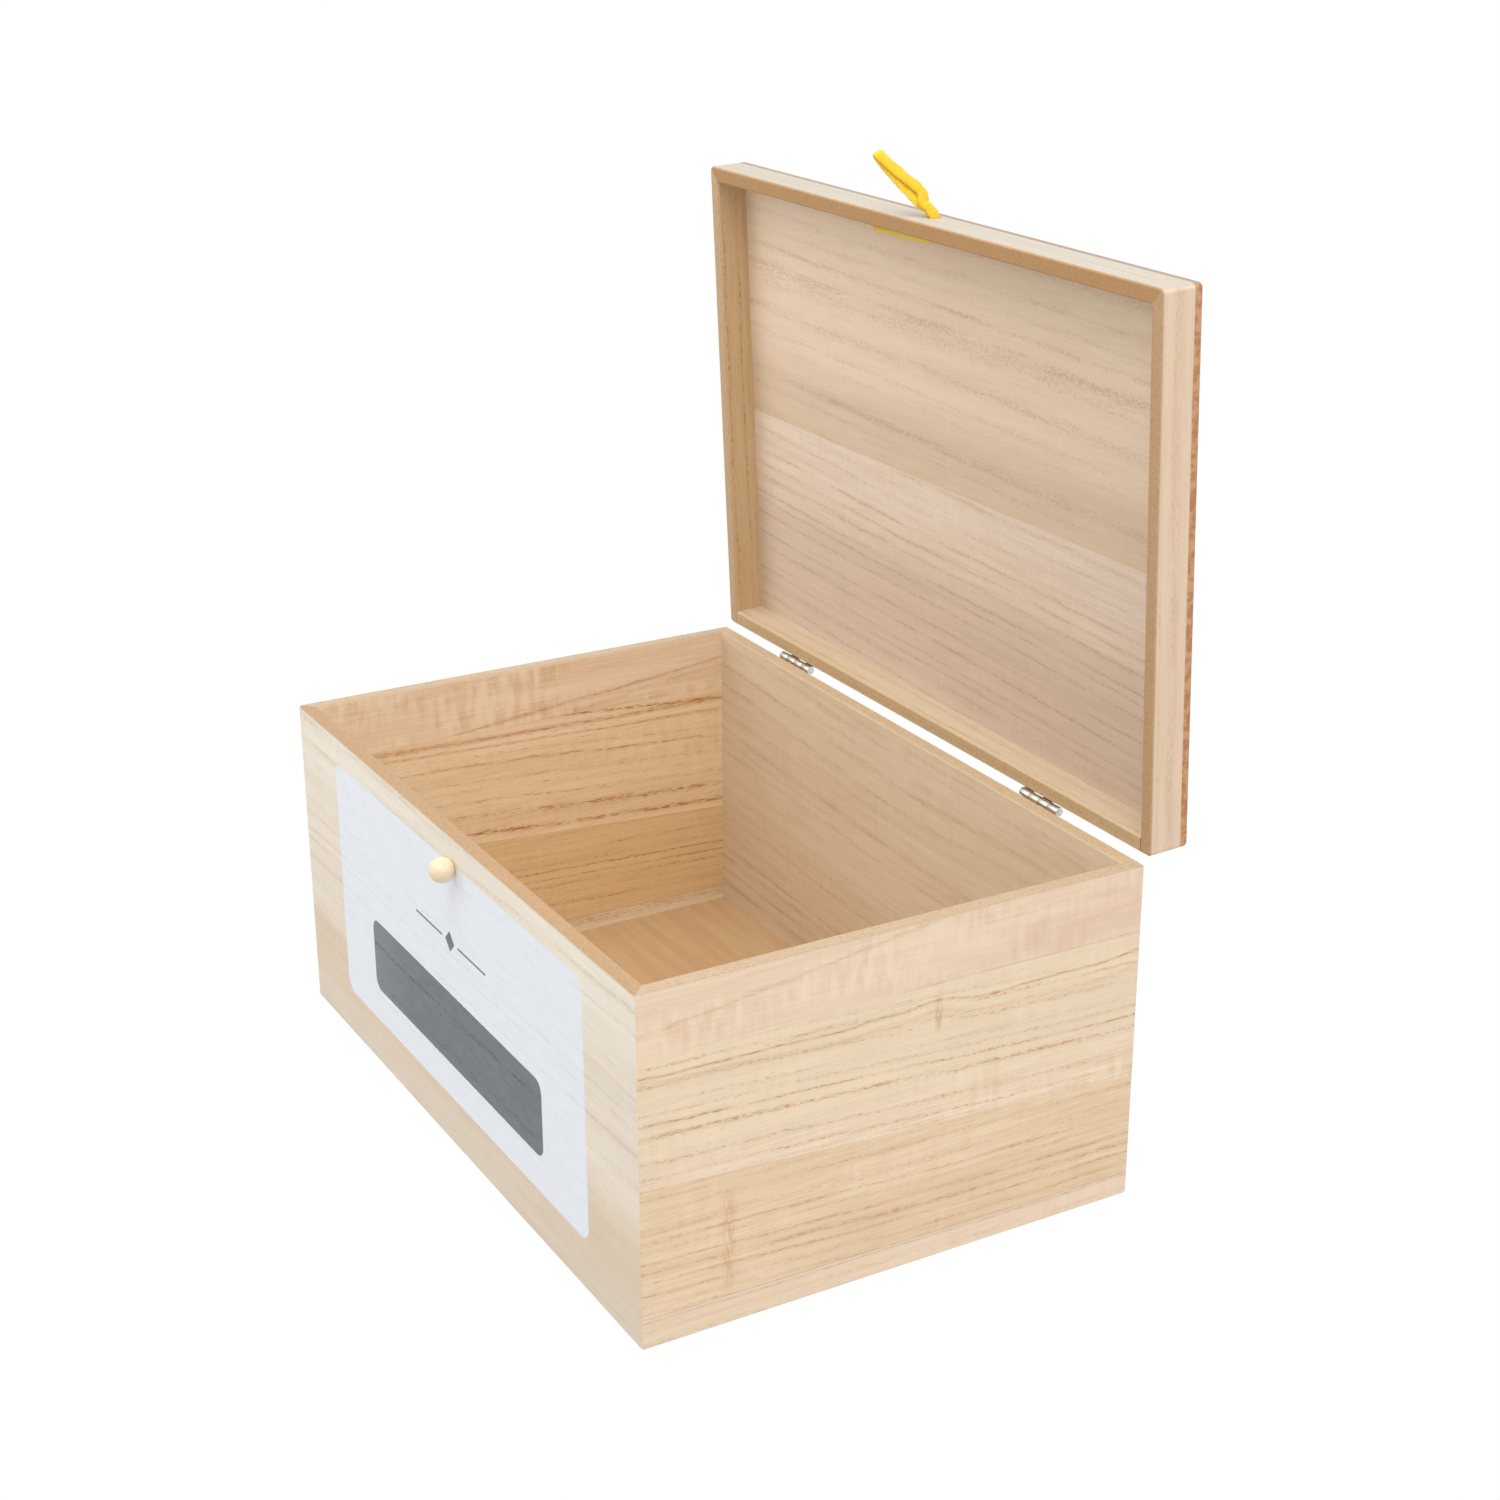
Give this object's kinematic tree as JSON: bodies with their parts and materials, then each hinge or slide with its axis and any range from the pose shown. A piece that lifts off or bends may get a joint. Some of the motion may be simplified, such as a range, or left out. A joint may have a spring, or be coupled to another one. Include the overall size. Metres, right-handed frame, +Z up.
{
  "type": "hinged wooden treat box",
  "caption": "Pale wooden keepsake box with a hinged tray lid, a painted label on the front, a ball knob and a felt loop to hold it shut.",
  "frame": {"origin": "centre of the underside of the box body, on the surface it stands on", "axes": "+Z up, the front with the knob faces -Y, the hinges are at the back towards +Y, +X to the right as seen from the front"},
  "size_m": [0.3, 0.2275, 0.3579],
  "materials": {
    "front_wood": "sanded bare wood with a thin painted label",
    "side_wood": "sanded bare wood",
    "base_board": "bare fibre board",
    "knob_wood": "turned and sanded wood",
    "lid_wood": "sanded bare wood",
    "hinge_metal": "bright nickel plate",
    "yellow_felt": "soft felt"
  },
  "bodies": {
    "box": {"front_panel": "front_wood", "back_panel": "side_wood", "left_side_foot_strip": "side_wood", "left_side_lower_board": "side_wood", "left_side_middle_board": "side_wood", "left_side_rim_board": "side_wood", "right_side_foot_strip": "side_wood", "right_side_lower_board": "side_wood", "right_side_middle_board": "side_wood", "right_side_rim_board": "side_wood", "base_panel": "base_board", "closure_knob": "knob_wood", "hinge_body_leaf_left": "hinge_metal", "hinge_body_leaf_right": "hinge_metal", "hinge_pin_left": "hinge_metal", "hinge_pin_right": "hinge_metal", "body_hinge_screws": "hinge_metal"},
    "lid": {"lid_front_board": "lid_wood", "lid_back_board": "lid_wood", "lid_front_rail": "lid_wood", "lid_back_rail": "lid_wood", "lid_left_rail": "lid_wood", "lid_right_rail": "lid_wood", "hinge_lid_leaf_left": "hinge_metal", "hinge_lid_leaf_right": "hinge_metal", "lid_hinge_screws": "hinge_metal", "closure_loop": "yellow_felt", "loop_tail": "yellow_felt"}
  },
  "joints": [
    {"name": "lid_hinge", "type": "hinge", "parent": "box", "child": "lid", "pos_m": [0, 0.102, 0.13215], "axis": [1, 0, 0], "range_deg": [0, 87.6]}
  ]
}
